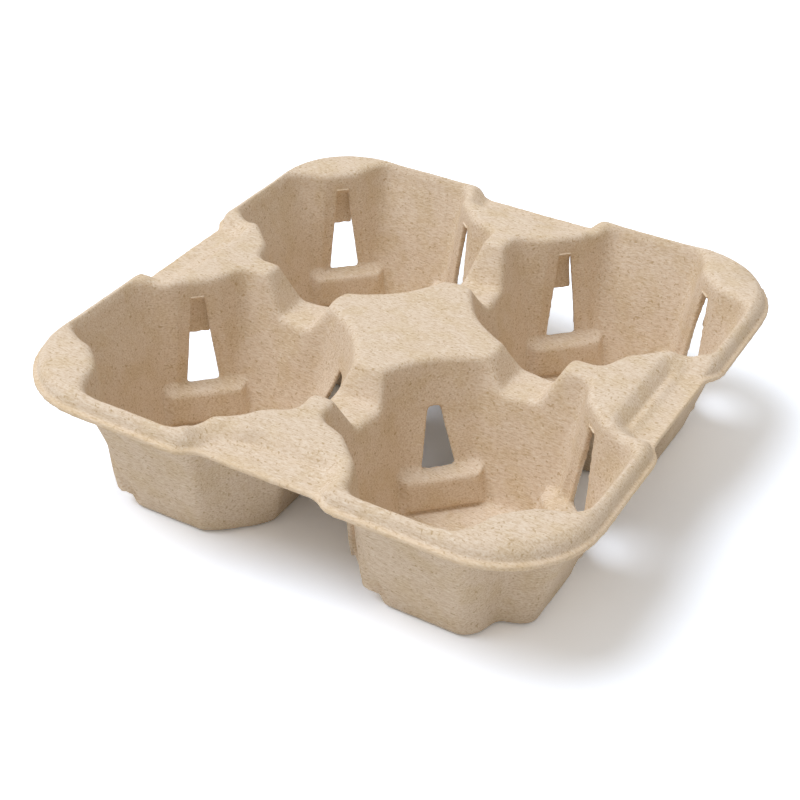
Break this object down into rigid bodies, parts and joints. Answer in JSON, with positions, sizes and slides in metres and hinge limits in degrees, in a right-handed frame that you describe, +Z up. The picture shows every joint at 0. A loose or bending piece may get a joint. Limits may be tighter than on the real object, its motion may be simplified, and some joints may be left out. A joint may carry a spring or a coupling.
{
  "type": "cup carrier",
  "caption": "Square moulded pulp tray with tapered wells that hold drinking cups upright, slotted well corners, a raised middle and a rolled rim.",
  "frame": {"origin": "middle of the tray, on the surface that its feet stand on", "axes": "+Z up, -Y towards the front side, which is the side at the lower right of the picture; +X to the right of someone who faces the front"},
  "size_m": [0.216, 0.216, 0.059],
  "materials": {
    "pulp": "matt, unbleached moulded pulp"
  },
  "bodies": {
    "root": {"cup_carrier": "pulp"}
  },
  "joints": []
}
